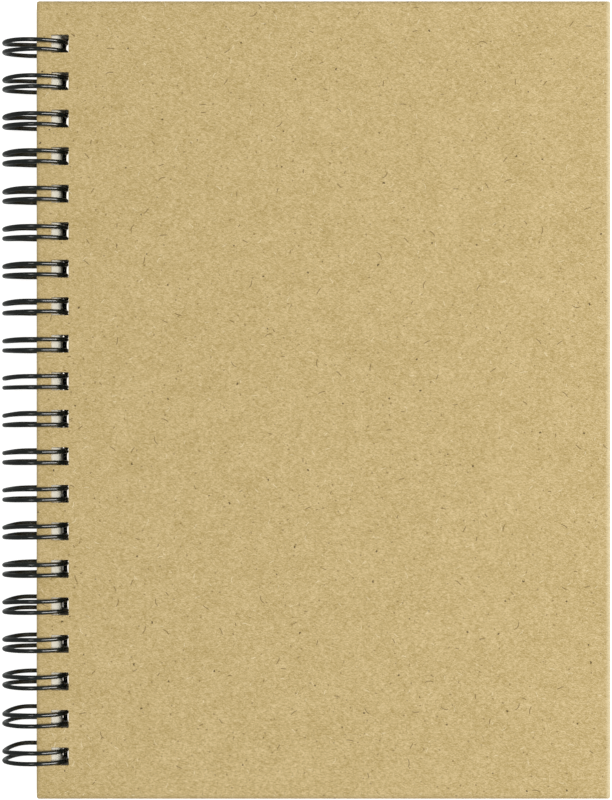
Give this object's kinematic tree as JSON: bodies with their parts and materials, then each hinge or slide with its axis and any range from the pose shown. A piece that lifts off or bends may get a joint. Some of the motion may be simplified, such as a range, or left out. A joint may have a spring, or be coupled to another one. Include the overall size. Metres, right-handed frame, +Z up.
{
  "type": "sketchbook",
  "caption": "Portrait sketchbook with plain kraft board covers, cream drawing leaves and a black twin-loop wire binding along the left edge; covers and leaves turn on the wire.",
  "frame": {"origin": "on the table, at the bottom centre of the closed book's box, wire included", "axes": "+X from the spine to the fore edge, +Y along the spine to the head of the book, +Z up out of the front cover"},
  "size_m": [0.1378, 0.18, 0.0152],
  "materials": {
    "kraft_board": "matte",
    "drawing_paper": "matte",
    "black_wire": "satin"
  },
  "bodies": {
    "binding": {"wire_binding": "black_wire", "back_cover": "kraft_board"},
    "front_cover": {"front_cover": "kraft_board"},
    "leaf_01": {"leaf_01": "drawing_paper"},
    "leaf_02": {"leaf_02": "drawing_paper"},
    "leaf_03": {"leaf_03": "drawing_paper"},
    "leaf_04": {"leaf_04": "drawing_paper"},
    "leaf_05": {"leaf_05": "drawing_paper"},
    "leaf_06": {"leaf_06": "drawing_paper"},
    "leaf_07": {"leaf_07": "drawing_paper"},
    "leaf_08": {"leaf_08": "drawing_paper"},
    "leaf_09": {"leaf_09": "drawing_paper"},
    "leaf_10": {"leaf_10": "drawing_paper"},
    "leaf_11": {"leaf_11": "drawing_paper"},
    "leaf_12": {"leaf_12": "drawing_paper"},
    "leaf_13": {"leaf_13": "drawing_paper"},
    "leaf_14": {"leaf_14": "drawing_paper"},
    "leaf_15": {"leaf_15": "drawing_paper"},
    "leaf_16": {"leaf_16": "drawing_paper"},
    "leaf_17": {"leaf_17": "drawing_paper"},
    "leaf_18": {"leaf_18": "drawing_paper"},
    "leaf_19": {"leaf_19": "drawing_paper"},
    "leaf_20": {"leaf_20": "drawing_paper"},
    "leaf_21": {"leaf_21": "drawing_paper"},
    "leaf_22": {"leaf_22": "drawing_paper"},
    "leaf_23": {"leaf_23": "drawing_paper"},
    "leaf_24": {"leaf_24": "drawing_paper"}
  },
  "joints": [
    {"name": "leaf_24_hinge", "type": "hinge", "parent": "binding", "child": "leaf_24", "pos_m": [-0.06132, 0, 0.0076], "axis": [0, -1, 0], "range_deg": [0, 180]},
    {"name": "leaf_19_hinge", "type": "hinge", "parent": "binding", "child": "leaf_19", "pos_m": [-0.06132, 0, 0.0076], "axis": [0, -1, 0], "range_deg": [0, 180]},
    {"name": "leaf_20_hinge", "type": "hinge", "parent": "binding", "child": "leaf_20", "pos_m": [-0.06132, 0, 0.0076], "axis": [0, -1, 0], "range_deg": [0, 180]},
    {"name": "leaf_21_hinge", "type": "hinge", "parent": "binding", "child": "leaf_21", "pos_m": [-0.06132, 0, 0.0076], "axis": [0, -1, 0], "range_deg": [0, 180]},
    {"name": "leaf_22_hinge", "type": "hinge", "parent": "binding", "child": "leaf_22", "pos_m": [-0.06132, 0, 0.0076], "axis": [0, -1, 0], "range_deg": [0, 180]},
    {"name": "leaf_23_hinge", "type": "hinge", "parent": "binding", "child": "leaf_23", "pos_m": [-0.06132, 0, 0.0076], "axis": [0, -1, 0], "range_deg": [0, 180]},
    {"name": "leaf_18_hinge", "type": "hinge", "parent": "leaf_24", "child": "leaf_18", "pos_m": [-0.06132, 0, 0.0076], "axis": [0, -1, 0], "range_deg": [0, 180]},
    {"name": "leaf_13_hinge", "type": "hinge", "parent": "leaf_24", "child": "leaf_13", "pos_m": [-0.06132, 0, 0.0076], "axis": [0, -1, 0], "range_deg": [0, 180]},
    {"name": "leaf_14_hinge", "type": "hinge", "parent": "leaf_24", "child": "leaf_14", "pos_m": [-0.06132, 0, 0.0076], "axis": [0, -1, 0], "range_deg": [0, 180]},
    {"name": "leaf_15_hinge", "type": "hinge", "parent": "leaf_24", "child": "leaf_15", "pos_m": [-0.06132, 0, 0.0076], "axis": [0, -1, 0], "range_deg": [0, 180]},
    {"name": "leaf_16_hinge", "type": "hinge", "parent": "leaf_24", "child": "leaf_16", "pos_m": [-0.06132, 0, 0.0076], "axis": [0, -1, 0], "range_deg": [0, 180]},
    {"name": "leaf_17_hinge", "type": "hinge", "parent": "leaf_24", "child": "leaf_17", "pos_m": [-0.06132, 0, 0.0076], "axis": [0, -1, 0], "range_deg": [0, 180]},
    {"name": "leaf_12_hinge", "type": "hinge", "parent": "leaf_18", "child": "leaf_12", "pos_m": [-0.06132, 0, 0.0076], "axis": [0, -1, 0], "range_deg": [0, 180]},
    {"name": "leaf_07_hinge", "type": "hinge", "parent": "leaf_18", "child": "leaf_07", "pos_m": [-0.06132, 0, 0.0076], "axis": [0, -1, 0], "range_deg": [0, 180]},
    {"name": "leaf_08_hinge", "type": "hinge", "parent": "leaf_18", "child": "leaf_08", "pos_m": [-0.06132, 0, 0.0076], "axis": [0, -1, 0], "range_deg": [0, 180]},
    {"name": "leaf_09_hinge", "type": "hinge", "parent": "leaf_18", "child": "leaf_09", "pos_m": [-0.06132, 0, 0.0076], "axis": [0, -1, 0], "range_deg": [0, 180]},
    {"name": "leaf_10_hinge", "type": "hinge", "parent": "leaf_18", "child": "leaf_10", "pos_m": [-0.06132, 0, 0.0076], "axis": [0, -1, 0], "range_deg": [0, 180]},
    {"name": "leaf_11_hinge", "type": "hinge", "parent": "leaf_18", "child": "leaf_11", "pos_m": [-0.06132, 0, 0.0076], "axis": [0, -1, 0], "range_deg": [0, 180]},
    {"name": "leaf_06_hinge", "type": "hinge", "parent": "leaf_12", "child": "leaf_06", "pos_m": [-0.06132, 0, 0.0076], "axis": [0, -1, 0], "range_deg": [0, 180]},
    {"name": "leaf_01_hinge", "type": "hinge", "parent": "leaf_12", "child": "leaf_01", "pos_m": [-0.06132, 0, 0.0076], "axis": [0, -1, 0], "range_deg": [0, 180]},
    {"name": "leaf_02_hinge", "type": "hinge", "parent": "leaf_12", "child": "leaf_02", "pos_m": [-0.06132, 0, 0.0076], "axis": [0, -1, 0], "range_deg": [0, 180]},
    {"name": "leaf_03_hinge", "type": "hinge", "parent": "leaf_12", "child": "leaf_03", "pos_m": [-0.06132, 0, 0.0076], "axis": [0, -1, 0], "range_deg": [0, 180]},
    {"name": "leaf_04_hinge", "type": "hinge", "parent": "leaf_12", "child": "leaf_04", "pos_m": [-0.06132, 0, 0.0076], "axis": [0, -1, 0], "range_deg": [0, 180]},
    {"name": "leaf_05_hinge", "type": "hinge", "parent": "leaf_12", "child": "leaf_05", "pos_m": [-0.06132, 0, 0.0076], "axis": [0, -1, 0], "range_deg": [0, 180]},
    {"name": "front_cover_hinge", "type": "hinge", "parent": "leaf_06", "child": "front_cover", "pos_m": [-0.06132, 0, 0.0076], "axis": [0, -1, 0], "range_deg": [0, 180]}
  ],
  "couplings": [
    {"joint": "leaf_19_hinge", "follows": "leaf_24_hinge", "ratio": 1},
    {"joint": "leaf_20_hinge", "follows": "leaf_24_hinge", "ratio": 1},
    {"joint": "leaf_21_hinge", "follows": "leaf_24_hinge", "ratio": 1},
    {"joint": "leaf_22_hinge", "follows": "leaf_24_hinge", "ratio": 1},
    {"joint": "leaf_23_hinge", "follows": "leaf_24_hinge", "ratio": 1},
    {"joint": "leaf_13_hinge", "follows": "leaf_18_hinge", "ratio": 1},
    {"joint": "leaf_14_hinge", "follows": "leaf_18_hinge", "ratio": 1},
    {"joint": "leaf_15_hinge", "follows": "leaf_18_hinge", "ratio": 1},
    {"joint": "leaf_16_hinge", "follows": "leaf_18_hinge", "ratio": 1},
    {"joint": "leaf_17_hinge", "follows": "leaf_18_hinge", "ratio": 1},
    {"joint": "leaf_07_hinge", "follows": "leaf_12_hinge", "ratio": 1},
    {"joint": "leaf_08_hinge", "follows": "leaf_12_hinge", "ratio": 1},
    {"joint": "leaf_09_hinge", "follows": "leaf_12_hinge", "ratio": 1},
    {"joint": "leaf_10_hinge", "follows": "leaf_12_hinge", "ratio": 1},
    {"joint": "leaf_11_hinge", "follows": "leaf_12_hinge", "ratio": 1},
    {"joint": "leaf_01_hinge", "follows": "leaf_06_hinge", "ratio": 1},
    {"joint": "leaf_02_hinge", "follows": "leaf_06_hinge", "ratio": 1},
    {"joint": "leaf_03_hinge", "follows": "leaf_06_hinge", "ratio": 1},
    {"joint": "leaf_04_hinge", "follows": "leaf_06_hinge", "ratio": 1},
    {"joint": "leaf_05_hinge", "follows": "leaf_06_hinge", "ratio": 1}
  ]
}
